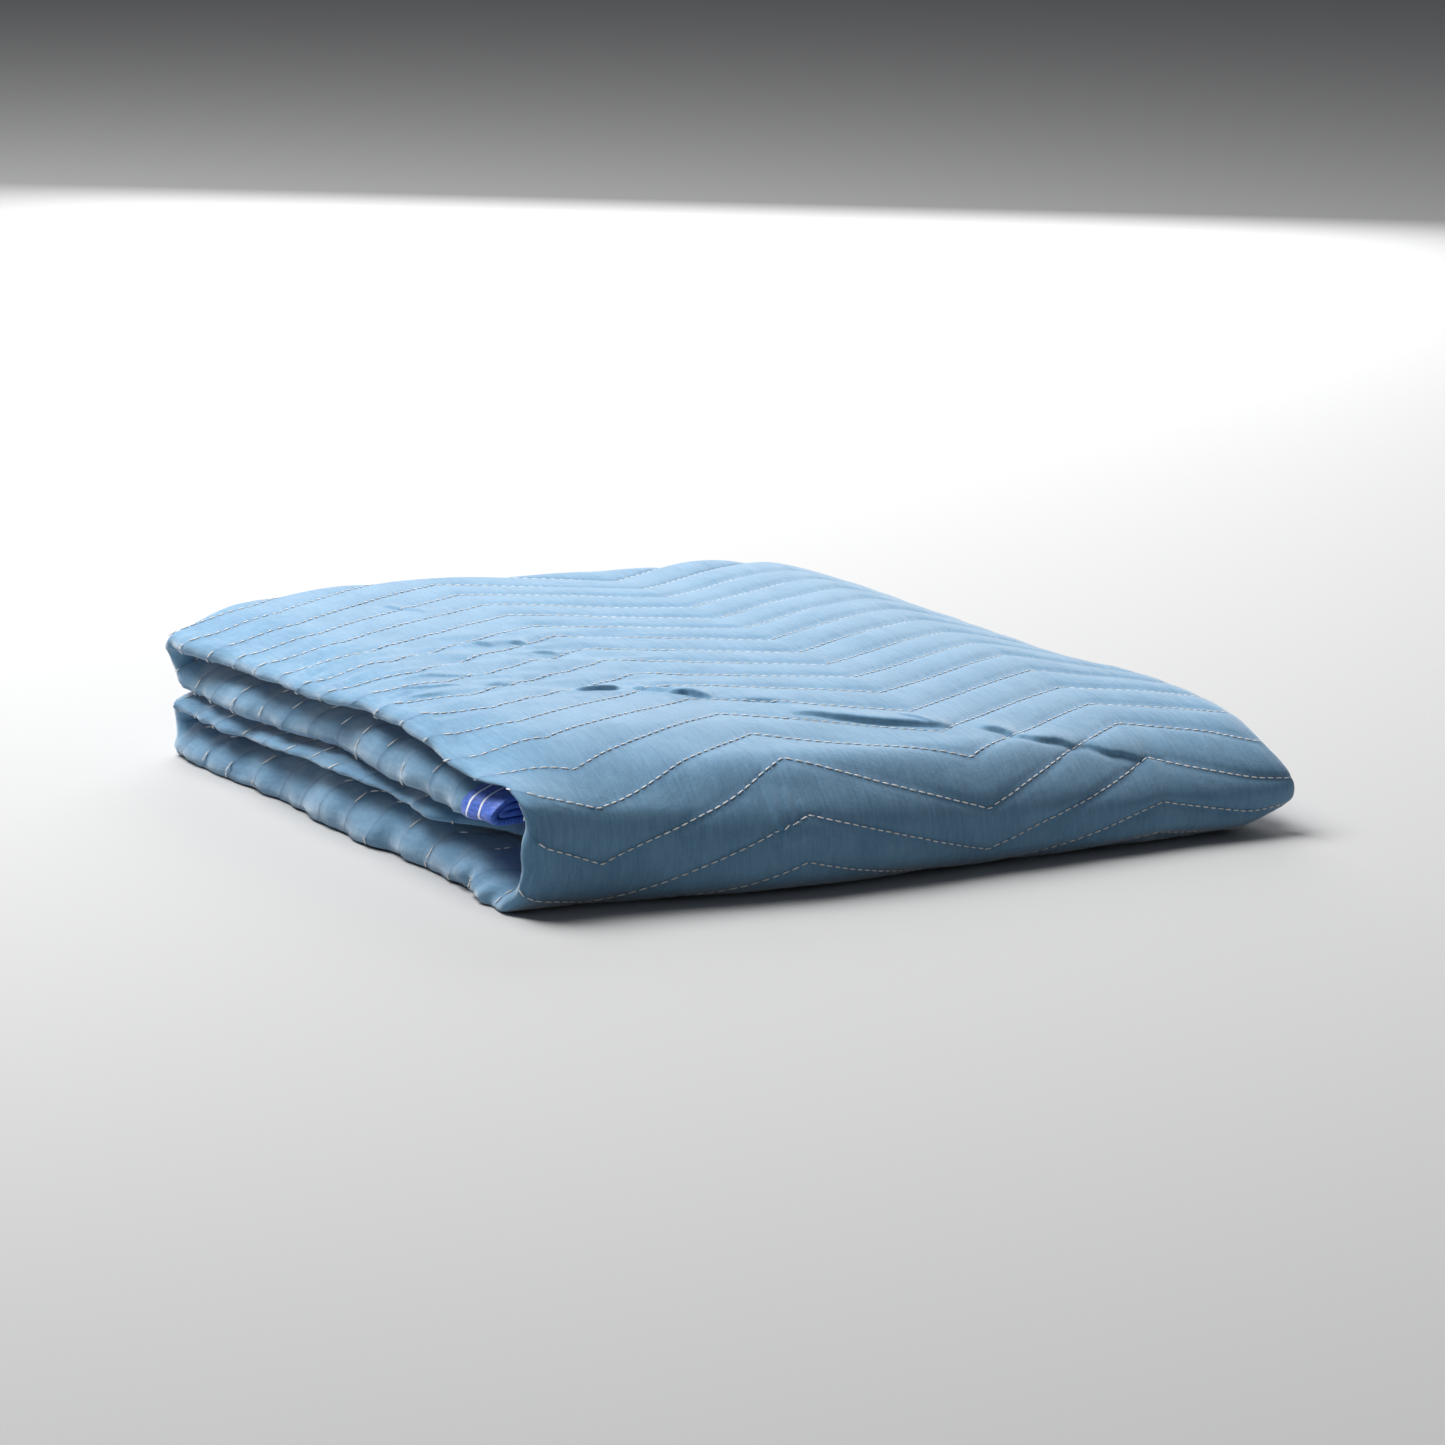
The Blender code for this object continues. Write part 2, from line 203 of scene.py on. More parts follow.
# The mesh's lines: their spacing and where it changes
HIDDEN_STEP = 31 * MM
NEAR_TURN_STEP = 15 * MM
SHOWN_STEP = 15.5 * MM
INNER_STEP = 16 * MM
OUTER_TURN_STEP = 3.3 * MM
INNER_TURN_STEP = 1.6 * MM
LAST_TURN_STEP = 1.7 * MM
EDGE_CLEAR = 60 * MM
NEAR_TURN = 120 * MM
NEAR_INNER = 80 * MM
LINES_TO_ROW = 8
FREE_OF_ROWS = 50 * MM
EDGE_LINE = 18 * MM
TURN_REACH = 53 * MM
OUTER_FACE = 0.99
TOP_BEFORE = 50 * MM
TOP_AFTER = 20 * MM
LIP_BEFORE = 30 * MM
LIP_AFTER = 45 * MM

# The tape's section, as shares from its inner edge to its outer one
TAPE_STEPS = (0.0, 0.012, 0.25, 0.5, 0.75, 0.97, 1.0)
TAPE_INSIDE = (0.97, 0.5, 0.0)
TAPE_EDGE = 0.4
TAPE_GAP = 0.3 * MM
TAPE_CLEAR = 3 * MM
TAPE_STAND_OFF = 0.25 * MM
WELD = 0.005 * MM

# A stitch, as shares of the thread and of its length, and where the rows start and end
STITCH_OUT = 0.4
STITCH_PROUD = 0.15
STITCH_CLEAR = 0.6
STITCH_HALF = 0.55
SUNK_FROM = -0.03
ROW_BEFORE = 20 * MM
ROW_AFTER_FACE = 6 * MM
ROW_AFTER_LIP = 50 * MM

# The height of the lines between the strips at the left, in millimetres, by places from the front
STRIP_LINES = (
    {"y": 10, "low": 23, "middle": 45, "high": 66, "top": 70},
    {"y": 43, "low": 24, "middle": 44, "high": 67, "top": 73},
    {"y": 90, "low": 26, "middle": 43, "high": 71, "top": 80},
    {"y": 141, "low": 29, "middle": 42, "high": 73, "top": 86},
    {"y": 200, "low": 32, "middle": 43, "high": 73, "top": 85},
    {"y": 245, "low": 30, "middle": 44, "high": 71, "top": 82},
    {"y": 300, "low": 29, "middle": 41, "high": 68, "top": 80},
    {"y": 370, "low": 23, "middle": 39, "high": 64, "top": 78},
    {"y": 452, "low": 25, "middle": 40, "high": 63, "top": 78},
)
NEAT_LINES = tuple((STRIP_HALF + (k + 0.5) * STRIP_PITCH) / STACK for k in range(3))

# The creases of the top and the wrap: places in millimetres from the stack's front left corner
CREASES = (
    {"depth": 1.9, "width": 6.5, "points": ((112, 149), (118, 149), (129, 149), (138, 150), (143, 151))},
    {"depth": 1.8, "width": 6.0, "points": ((150, 151), (154, 148), (158, 141), (163, 134))},
    {"depth": 2.4, "width": 7.0, "points": ((164, 133), (174, 131), (178, 126), (184, 119))},
    {"depth": 1.2, "width": 7.0, "points": ((198, 111), (208, 111), (217, 108), (225, 97))},
    {"depth": 2.4, "width": 7.5,
     "points": ((214, 84), (234, 78), (250, 71), (269, 64), (290, 58), (308, 55))},
    {"depth": 0.8, "width": 5.0, "points": ((279, 74), (287, 66), (293, 59))},
    {"depth": 2.0, "width": 8.0, "points": ((320, 48), (328, 46), (334, 42), (340, 34))},
    {"depth": 2.2, "width": 10.0, "points": ((338, 37), (350, 31), (366, 27), (381, 25))},
    {"depth": 2.4, "width": 11.0, "points": ((376, 27), (388, 22), (404, 18), (418, 14))},
    {"depth": 1.0, "width": 4.5, "points": ((40, 208), (61, 202), (84, 194))},
    {"depth": 1.1, "width": 4.5, "points": ((20, 195), (37, 181), (54, 175))},
    {"depth": 0.9, "width": 4.0, "points": ((66, 175), (77, 176), (86, 172))},
    {"depth": 1.1, "width": 4.5, "points": ((8, 184), (22, 170), (38, 164))},
    {"depth": 0.9, "width": 4.0, "points": ((109, 275), (115, 270), (121, 266))},
    {"depth": 1.0, "width": 4.0, "points": ((132, 270), (140, 270), (148, 262))},
    {"depth": 0.9, "width": 4.0, "points": ((134, 245), (142, 244), (151, 242))},
    {"depth": 0.9, "width": 4.5, "points": ((110, 392), (119, 381), (126, 362))},
    {"depth": 1.7, "width": 6.0, "points": ((0, 154), (5, 138), (8, 118))},
    {"depth": 1.3, "width": 6.0, "points": ((4, 268), (12, 288), (18, 300))},
    {"depth": 1.8, "width": 5.0, "points": ((149, 12), (150, -8), (157, -26))},
    {"depth": 1.7, "width": 4.5, "points": ((158, 10), (160, -5), (163, -22))},
    {"depth": 1.3, "width": 4.0, "points": ((166, 4), (168, -10), (172, -24))},
)

# A crease's section across its width: a steep trough beside a ridge, each with its middle and two widths
CREASE_REACH = 20 * MM
CREASE_FADED = 3
CREASE_TAPER = 0.6
CREASE_MESH_REACH = 9 * MM
TROUGH = (0.05, 0.13, 0.35)
TROUGH_SHARE = 0.7
RIDGE = (-0.35, 1.2, 0.3)
RIDGE_SHARE = 0.8


def linear(colour):
    """An sRGB hex colour as linear red, green, blue and alpha."""
    parts = [int(colour[i : i + 2], 16) / 255 for i in (1, 3, 5)]
    return tuple(c / 12.92 if c <= 0.04045 else ((c + 0.055) / 1.055) ** 2.4 for c in parts) + (1.0,)


def fade(value, start, end):
    """A soft step from 0 at the start to 1 at the end."""
    share = min(max((value - start) / (end - start), 0.0), 1.0)
    return share * share * (3 - 2 * share)


def bell(value, middle, before, after):
    """A bell that is 1 at its middle, with one width before it and another after."""
    width = before if value < middle else after
    return math.exp(-(((value - middle) / width) ** 2))


def relief(rows, along, beside):
    """The sum of a table's uneven layers at a place."""
    total = 0.0
    for height, length, width, seed_beside, seed_up in rows:
        total += height * noise.noise(Vector((along / length, beside / width + seed_beside, seed_up)))
    return total


def smooth(value, places, levels):
    """The level at a value, on a smooth curve through the places."""
    if value <= places[0]:
        return levels[0]
    if value >= places[-1]:
        return levels[-1]
    k = bisect_right(places, value) - 1
    gap = places[k + 1] - places[k]
    share = (value - places[k]) / gap
    before, after = max(k - 1, 0), min(k + 2, len(places) - 1)
    slope_in = gap * (levels[k + 1] - levels[before]) / (places[k + 1] - places[before])
    slope_out = gap * (levels[after] - levels[k]) / (places[after] - places[k])
    rise = levels[k + 1] - levels[k]
    curve = share * (share - 1) * ((slope_in - rise) * (share - 1) + (slope_out - rise) * share)
    return levels[k] + share * rise + curve


def walk(start, heading, segments, distance):
    """The place and heading at a distance along a path of straight runs and round turns.

    A segment is its length and the angle that it turns by, anticlockwise.
    """
    a, b = start
    last = len(segments) - 1
    for k, (length, turn) in enumerate(segments):
        step = distance if k == last else min(distance, length)
        if turn:
            radius = length / turn
            end = heading + step / radius
            a += radius * (math.sin(end) - math.sin(heading))
            b -= radius * (math.cos(end) - math.cos(heading))
            heading = end
        else:
            a += step * math.cos(heading)
            b += step * math.sin(heading)
        distance -= step
        if distance <= 0:
            break
    return a, b, heading


def starts(segments):
    """The distance at which each segment of a path begins, and the end of the last."""
    found = [0.0]
    for length, _ in segments:
        found.append(found[-1] + length)
    return found


class Fold:
    """The blanket's fold: where each point of the flat cloth comes to lie."""

    def __init__(self, sizes):
        self.sizes = sizes
        self.left = STRIP_HALF
        turns = HALF_TURN * (OUTER_TURN + 2 * INNER_TURN)
        self.run = (sizes.cut_width - turns + SHORT_EDGE_IN + FREE_EDGE_IN) / 4
        self.right = self.left + self.run
        wrap = QUARTER_TURN * (WRAP_TOP + WRAP_LOW) + WRAP_FLAT
        ends = UPPER_END_Y + LOWER_END_Y + TOP_START_Y + LOW_START_Y
        self.back = (sizes.cut_length - 2 * HALF_TURN * BACK_TURN - wrap + ends) / 4
        self.across = (
            (self.run - SHORT_EDGE_IN, 0),
            (HALF_TURN * OUTER_TURN, -HALF_TURN),
            (self.run, 0),
            (HALF_TURN * INNER_TURN, -HALF_TURN),
            (self.run, 0),
            (HALF_TURN * INNER_TURN, HALF_TURN),
            (self.run - FREE_EDGE_IN, 0),
        )
        self.along = (
            (self.back - UPPER_END_Y, 0),
            (HALF_TURN * BACK_TURN, HALF_TURN),
            (self.back - TOP_START_Y, 0),
            (QUARTER_TURN * WRAP_TOP, QUARTER_TURN),
            (WRAP_FLAT, 0),
            (QUARTER_TURN * WRAP_LOW, QUARTER_TURN),
            (self.back - LOW_START_Y, 0),
            (HALF_TURN * BACK_TURN, HALF_TURN),
            (self.back - LOWER_END_Y, 0),
        )
        self.across_at = starts(self.across)
        self.path_at = starts(self.along)
        self.along_at = starts([(length + turn * STRIP_HALF, turn) for length, turn in self.along])
        self.row_zero = self.along_at[5] - sizes.zigzag_reach + sizes.zigzag_slant * sizes.first_low
        self.shift_x = CAD_HIGH.x - (self.right + INNER_TURN + sizes.loft / 2)
        self.shift_y = CAD_HIGH.y - (self.back + BACK_TURN + STRIP_HALF)
        self.creases = [self.crease(row) for row in CREASES]

    def crease(self, row):
        """A crease of the table, with its places as distances across and along the cloth."""
        points = [Vector((x * MM, self.along_at[3] + TOP_START_Y - y * MM)) for x, y in row["points"]]
        return points, row["depth"] * MM, row["width"] * MM

    def on_outer_ply(self, across):
        """How far across the outer ply's run a point lies; less than the left fold before it."""
        return self.left + across - self.across_at[2]

    def path_distance(self, along):
        """The distance along the strip's middle path for a distance along its outer face."""
        k = min(max(bisect_right(self.along_at, along) - 1, 0), len(self.along) - 1)
        share = (along - self.along_at[k]) / (self.along_at[k + 1] - self.along_at[k])
        return self.path_at[k] + share * self.along[k][0]

    def zigzag(self, across, along):
        """How far a stitch row is moved along the cloth at a place across."""
        sizes = self.sizes
        x = self.on_outer_ply(across)
        phase = (x - sizes.first_low) / sizes.zigzag_half_period
        swing = 4 * abs(phase / 2 - math.floor(phase / 2 + 0.5)) - 1
        shift = -(sizes.zigzag_reach * swing + sizes.zigzag_slant * max(x, 0))
        shift += LIP_LEAN * min(max(x - LIP_LEAN_X, -LIP_LEAN_RUN), 0)
        inner = 1 - fade(across, self.across_at[3], self.across_at[3] + ZIGZAG_INNER)
        under = fade(x, *ZIGZAG_UNDER_X)
        ends = fade(min(along, self.along_at[9] - along), *ZIGZAG_ENDS)
        return shift * inner * under * ends

    def lip(self, along):
        """How far the left lip stands in at a place along the cloth."""
        turn = 2 * math.pi * along / RIPPLE_LENGTH + self.by_lip("phase", along)
        wave = self.by_lip("ripple", along) * math.sin(turn)
        end = self.along_at[9]
        tuck = LIP_TUCK * fade(along, end - LIP_TUCK_START, end - LIP_TUCK_END)
        tuck -= LIP_SHOWN * (1 - fade(along, *LIP_SHOWN_RUN))
        return (self.by_lip("stands_in", along) + wave) * MM + relief(LIP_FLUTTER, along, 0.0) + tuck

    def crumple(self, along, level):
        """How far the left lips are crumpled in or out at a place."""
        from_corner = abs(along - self.along_at[6] - CORNER_IN)
        corner = 1 + CORNER_CRUMPLE * (1 - fade(from_corner, *CORNER_REACH))
        return relief(LIP_CRUMPLE, along, level) * self.by_lip("crumple", along) * corner

    def crease_near(self, x, along, reach):
        """Whether a crease passes within reach of a place on the cloth."""
        place = Vector((x, along))
        for points, _, _ in self.creases:
            for start, end in zip(points, points[1:]):
                t = min(max((place - start).dot(end - start) / (end - start).length_squared, 0.0), 1.0)
                if (place - start.lerp(end, t)).length < reach:
                    return True
        return False

    def pinch(self, along):
        """How much the strip is squeezed towards its outer face at its left lip."""
        top, low = self.along_at[3], self.along_at[6]
        before, after = WRAP_PINCH_LOW
        at_wrap = fade(along, top - WRAP_PINCH_TOP, top + WRAP_PINCH_TOP)
        at_wrap *= 1 - fade(along, low - before, low + after)
        return self.by_lip("pinch", along) * (1 - at_wrap) + WRAP_PINCH * at_wrap

    def by_lip(self, what, along):
        """A value of the table of lips at a place along the cloth, blended at the turns."""
        places, values = [], []
        for row in LIPS:
            places += [self.along_at[row["segment"]], self.along_at[row["segment"] + 1]]
            values += [row[what]] * 2
        return smooth(along, places, values)

    def dent(self, x, along):
        """How far the creases press the cloth in at a place, and how far their ridge is pushed over it."""
        press = push = 0.0
        for points, depth, width in self.creases:
            if not points[0].x - CREASE_REACH < x < points[-1].x + CREASE_REACH:
                continue
            place = Vector((x, along + width * relief(CREASE_WAVER, x, points[0].y)))
            nearest, share, side = 1.0, 0.0, 1.0
            for k in range(len(points) - 1):
                run = points[k + 1] - points[k]
                t = min(max((place - points[k]).dot(run) / run.length_squared, 0.0), 1.0)
                gap = place - points[k] - run * t
                if gap.length < nearest:
                    nearest = gap.length
                    share = (k + t) / (len(points) - 1)
                    side = run.x * gap.y - run.y * gap.x
            if nearest > CREASE_FADED * width:
                continue
            strength = math.sin(math.pi * min(max(share, 0.0), 1.0)) ** CREASE_TAPER
            offset = math.copysign(nearest, side) / width
            ridge = RIDGE_SHARE * bell(offset, *RIDGE)
            press += depth * strength * (TROUGH_SHARE * bell(offset, *TROUGH) - ridge)
            push += depth * strength * ridge
        return press, push

    def row_share(self, along):
        """Where a point lies between two stitch rows, from 0 at one to 1 at the next."""
        rows = (along - self.row_zero) / self.sizes.row_pitch
        return rows - math.floor(rows)

    def half_thickness(self, across, along, outside):
        """Half the cloth's thickness: thin in the binding, drawn in at a row, puffed up between rows."""
        sizes = self.sizes
        edge = min(across, self.across_at[7] - across, along, self.along_at[9] - along)
        x = self.on_outer_ply(across)
        on_face = fade(x, self.left - FACE_BEFORE, self.left + FACE_AFTER)
        puff = math.sin(math.pi * self.row_share(along)) ** PUFF_ROUND
        puff = PUFF_EVEN + (puff - PUFF_EVEN) * (PUFF_ON_LIP + (1 - PUFF_ON_LIP) * on_face)
        full = sizes.stitched / 2 + (sizes.loft - sizes.stitched) / 2 * puff
        if outside and x < self.right:
            taut = PUFF_TAUT + (1 - PUFF_TAUT) * fade(x, *TAUT_X)
            full += sizes.puff * taut * (puff - PUFF_SINK) * fade(x, *PUFF_X)
        return sizes.bound / 2 + (full - sizes.bound / 2) * fade(edge, *BOUND_EDGE)

    def place(self, across, along, out):
        """Where a point comes to lie; out is its distance from the cloth's middle."""
        start = (self.right - SHORT_EDGE_IN, -OUTER_TURN)
        x, level, heading = walk(start, HALF_TURN, self.across, across)
        x -= out * math.sin(heading)
        level += out * math.cos(heading)
        along += self.zigzag(across, along)
        if level > 0 and self.along_at[2] - CREASE_REACH < along < self.along_at[6]:
            press, push = self.dent(x, along)
            share = ((level + STRIP_HALF) / (2 * STRIP_HALF)) ** 2
            level -= press * share
            along += push * share
        level += (STRIP_HALF - level) * self.pinch(along) * (1 - fade(x, *PINCH_X))
        x += self.crumple(along, level) * (1 - fade(x, *CRUMPLE_X))
        path = self.path_distance(along)
        y, z, heading = walk((UPPER_END_Y, STRIP_HALF + 2 * STRIP_PITCH), 0, self.along, path)
        y += level * math.sin(heading)
        z -= level * math.cos(heading)
        x -= self.by_lip("droop", along) * level * math.cos(heading) * (1 - fade(x, *DROOP_X))
        return self.pressed(x, y, z, along)

    def pressed(self, x, y, z, along):
        """A point of the neat stack, moved to where it lies in the uneven one."""
        neat = z / STACK
        share = neat + (self.at_left_edge(neat, y / MM) - neat) * (1 - fade(x, self.left, LIP_FADE_X))
        x_mm = x / MM
        levels = [smooth(x_mm, ACROSS_MM, row) for row in CROWN_MM]
        crown = smooth(y / MM, CROWN_Y_MM, levels) * MM
        at_front = 1 - fade(y, TOP_START_Y - FRONT_FADE_BEFORE, FRONT_FADE_Y)
        on_top = fade(along, self.along_at[2], self.along_at[2] + TOP_LEAN_RUN)
        on_top *= 1 - fade(along, self.along_at[3], self.along_at[5])
        bow = smooth(x_mm, ACROSS_MM, BOW_MM) * MM
        lean = smooth(x_mm, ACROSS_MM, LEAN_MM) * MM
        at_left = 1 - fade(x, *RIPPLE_X)
        slack = fade(y, *SLACK_FRONT_Y) * (1 - fade(y, *SLACK_BACK_Y)) * (1 - fade(x, *SLACK_X))
        swell = relief(TOP_SWELL, x, y) + relief(TOP_SLACK, x + SLACK_SKEW * y, y) * slack
        lift = max(share - SWELL_FROM, 0) / (1 - SWELL_FROM)
        at_right = fade(x, self.right - END_REACH, self.right + OUTER_TURN)
        rounding = END_ROUND * at_right * ((share - END_MIDDLE) / END_HALF) ** 2
        rise = END_RISE * at_right * at_right * (1 - share)
        return Vector(
            (
                x + at_left * self.lip(along) - rounding + self.shift_x,
                y + at_front * (on_top * lean - bow) + self.shift_y,
                max(share * crown + rise + swell * lift * lift, 0.0),
            )
        )

    def at_left_edge(self, share, y):
        """The share of the stack's height at the left edge, where the strips are of unlike thickness."""
        places = [row["y"] for row in STRIP_LINES]
        top = smooth(y, places, [row["top"] for row in STRIP_LINES])
        lines = []
        for k, name in enumerate(("low", "middle", "high")):
            waver = relief(LINE_WAVER_MM, y, LINE_SEED_STEP * k)
            lines.append((smooth(y, places, [row[name] for row in STRIP_LINES]) + waver) / top)
        neat = (0.0,) + NEAT_LINES + (1.0,)
        real = [0.0] + lines + [1.0]
        k = min(max(bisect_right(neat, share) - 1, 0), len(NEAT_LINES))
        return real[k] + (share - neat[k]) / (neat[k + 1] - neat[k]) * (real[k + 1] - real[k])

    def on_cloth(self, across, along, side):
        """A place on the cloth's outer face, at side 1, or its inner face, at side -1."""
        return self.place(across, along, side * self.half_thickness(across, along, side > 0))


def spread(start, end, step):
    """Evenly spread lines over a stretch, about a step apart, without its end."""
    count = max(round((end - start) / step), 1)
    return [start + (end - start) * k / count for k in range(count)]


def lines_across(fold):
    """The cloth's lines across its width: close on the outer ply, wide on the hidden ones."""
    at = fold.across_at
    tape = fold.sizes.tape_width + TAPE_GAP
    lines = [0.0, tape, tape + TAPE_CLEAR]
    lines += spread(EDGE_CLEAR, at[1] - NEAR_TURN, HIDDEN_STEP)
    lines += spread(at[1] - NEAR_TURN, at[1], NEAR_TURN_STEP)
    lines += spread(at[1], at[2], OUTER_TURN_STEP)
    lines += spread(at[2], at[3], SHOWN_STEP)
    lines += spread(at[3], at[4], INNER_TURN_STEP)
    lines += spread(at[4], at[4] + NEAR_INNER, INNER_STEP)
    lines += spread(at[4] + NEAR_INNER, at[5], HIDDEN_STEP)
    lines += spread(at[5], at[6], LAST_TURN_STEP)
    lines += spread(at[6], at[7] - EDGE_CLEAR, HIDDEN_STEP)
    return lines + [at[7] - tape - TAPE_CLEAR, at[7] - tape, at[7]]


def close_lines_across(fold):
    """The lines across with one more between each two, for a tape that turns with the cloth."""
    lines = lines_across(fold)
    return sorted(lines + [(low + high) / 2 for low, high in zip(lines, lines[1:])])


def lines_along(fold):
    """The cloth's lines along its length: an even share of the row pitch, closer at the turns."""
    at = fold.along_at
    step = fold.sizes.row_pitch / LINES_TO_ROW
    tape = fold.sizes.tape_width + TAPE_GAP
    turns = ((at[1], at[2]), (at[3], at[6]), (at[7], at[8]))
    lines = [0.0, EDGE_LINE, tape, tape + TAPE_CLEAR]
    first = math.ceil((FREE_OF_ROWS - fold.row_zero) / step)
    last = math.floor((at[9] - FREE_OF_ROWS - fold.row_zero) / step)
    for k in range(first, last + 1):
        place = fold.row_zero + k * step
        at_turn = any(low - TURN_REACH < place < high + TURN_REACH for low, high in turns)
        if k % (LINES_TO_ROW // 2) == 0 or at_turn:
            lines.append(place)
    return lines + [at[9] - tape - TAPE_CLEAR, at[9] - tape, at[9] - EDGE_LINE, at[9]]


def new_object(name, mesh, material):
    """An object made of a finished mesh, shaded smooth, in the scene's collection."""
    data = bpy.data.meshes.new(name)
    mesh.to_mesh(data)
    mesh.free()
    data.materials.append(material)
    data.shade_smooth()
    made = bpy.data.objects.new(name, data)
    bpy.context.scene.collection.objects.link(made)
    return made


def face_outwards(mesh):
    """A closed mesh's faces turned to point outwards."""
    bmesh.ops.recalc_face_normals(mesh, faces=mesh.faces)
    if mesh.calc_volume(signed=True) < 0:
        bmesh.ops.reverse_faces(mesh, faces=mesh.faces)


def cut_closer(mesh, chosen, axis, cuts):
    """More lines across the chosen outer faces; axis 0 splits their edges across, 1 those along."""
    split = set()
    for face in mesh.faces:
        middle = face.calc_center_median()
        if middle.z < OUTER_FACE or not chosen(middle.x, middle.y):
            continue
        for edge in face.edges:
            run = edge.verts[1].co - edge.verts[0].co
            if abs(run[axis]) > abs(run[1 - axis]):
                split.add(edge)
    edges = [edge for edge in mesh.edges if edge in split]
    bmesh.ops.subdivide_edges(mesh, edges=edges, cuts=cuts, use_grid_fill=True)


def flat_slab(fold):
    """The flat cloth as a closed slab, whose x and y are its distances across and along.

    Its z is 1 on the outer face and -1 on the inner one. What shows has the closest lines.
    """
    across, along = lines_across(fold), lines_along(fold)
    columns, rows = len(across) - 1, len(along) - 1
    mesh = bmesh.new()
    bmesh.ops.create_grid(mesh, x_segments=columns, y_segments=rows, size=0.5)
    bmesh.ops.solidify(mesh, geom=mesh.faces[:], thickness=1.0)
    middle = sum(v.co.z for v in mesh.verts) / len(mesh.verts)
    for v in mesh.verts:
        u = across[round((v.co.x + 0.5) * columns)]
        w = along[round((v.co.y + 0.5) * rows)]
        v.co = (u, w, 1 if v.co.z > middle else -1)
    at, length = fold.across_at, fold.along_at

    def on_top(u, w):
        return at[2] < u < at[3] and length[2] - TOP_BEFORE < w < length[6] + TOP_AFTER

    def before_wrap(u, w):
        return on_top(u, w) and w < length[3] - TURN_REACH

    def on_lip(u, w):
        return at[1] - LIP_BEFORE < u < at[2] + LIP_AFTER and not on_top(u, w)

    def at_crease(u, w):
        if not on_top(u, w):
            return False
        x = fold.on_outer_ply(u)
        w += fold.zigzag(u, w)
        return fold.crease_near(x, w, CREASE_MESH_REACH)

    cut_closer(mesh, on_top, 0, 2)
    cut_closer(mesh, before_wrap, 1, 3)
    cut_closer(mesh, on_lip, 1, 2)
    cut_closer(mesh, at_crease, 0, 2)
    cut_closer(mesh, at_crease, 1, 2)
    return mesh


def quilted_cloth(fold, material):
    """The cloth: the flat slab, mapped for its pattern and laid in its folds."""
    mesh = flat_slab(fold)
    layer = mesh.loops.layers.uv.new("cloth")
    for face in mesh.faces:
        for loop in face.loops:
            flat = loop.vert.co
            loop[layer].uv = (flat.x, flat.y - fold.row_zero)
    for v in mesh.verts:
        v.co = fold.on_cloth(v.co.x, v.co.y, v.co.z)
    face_outwards(mesh)
    return new_object("quilted_cloth", mesh, material)


def stitch_row(thread, fold, along, start, end, sizes):
    """One row of stitches, each a short rounded bar that lies in the row's furrow."""
    row = bmesh.new()
    reach = sizes.stitch_length / 2
    for k in range(int((end - start) / sizes.stitch_pitch)):
        across = start + (k + 0.5) * sizes.stitch_pitch
        if across < fold.across_at[2] and relief(STITCH_SUNK, across, along) > SUNK_FROM:
            continue
        line = along + relief(STITCH_WANDER, across, along)
        out = fold.half_thickness(across, along, True) + STITCH_OUT * sizes.thread
        ahead = fold.place(across + reach, line, out)
        behind = fold.place(across - reach, line, out)
        over = fold.place(across, line, out + sizes.thread)
        middle = fold.place(across, line, out + STITCH_PROUD * sizes.thread)
        run = (ahead - behind).normalized()
        half = (ahead - behind).length * STITCH_HALF
        middle.z = max(middle.z, STITCH_CLEAR * sizes.thread + half * abs(run.z))
        side = run.cross(over - middle).normalized()
        turn = Matrix((run, side, run.cross(side))).transposed().to_4x4()
        size = Matrix.Diagonal((half, sizes.thread / 2, sizes.thread / 2, 1))
        matrix = Matrix.Translation(middle) @ turn @ size
        bmesh.ops.create_icosphere(row, subdivisions=1, radius=1.0, matrix=matrix)
    data = bpy.data.meshes.new("row")
    row.to_mesh(data)
    row.free()
    thread.from_mesh(data)
    bpy.data.meshes.remove(data)


def stitching(fold, material):
    """The rows of thread: whole ones where the outer ply shows, and short ones round the left lips."""
    sizes = fold.sizes
    at, length = fold.across_at, fold.along_at
    thread = bmesh.new()
    first = math.ceil((FREE_OF_ROWS - fold.row_zero) / sizes.row_pitch)
    last = math.floor((length[9] - FREE_OF_ROWS - fold.row_zero) / sizes.row_pitch)
    for k in range(first, last + 1):
        along = fold.row_zero + k * sizes.row_pitch
        shown = length[1] - ROW_BEFORE < along < length[8] + ROW_BEFORE
        end = at[3] + ROW_AFTER_FACE if shown else at[2] + ROW_AFTER_LIP
        stitch_row(thread, fold, along, at[1] - ROW_BEFORE, end, sizes)
    return new_object("stitching", thread, material)


def tape_section(fold, edge, inwards):
    """The points round the tape's section, each with its distance from the tape's inner edge."""
    sizes = fold.sizes
    inner = sizes.bound / 2 + TAPE_STAND_OFF
    outer = inner + sizes.tape
    width = sizes.tape_width + sizes.tape
    tip = edge - inwards * sizes.tape
    shares = [(s, outer - (TAPE_EDGE * sizes.tape if s in (0.0, 1.0) else 0)) for s in TAPE_STEPS]
    shares += [(s, -out) for s, out in reversed(shares)]
    shares += [(s, -inner) for s in reversed(TAPE_INSIDE)] + [(s, inner) for s in TAPE_INSIDE]
    return [(tip + inwards * width * (1 - s), out, s * width) for s, out in shares]


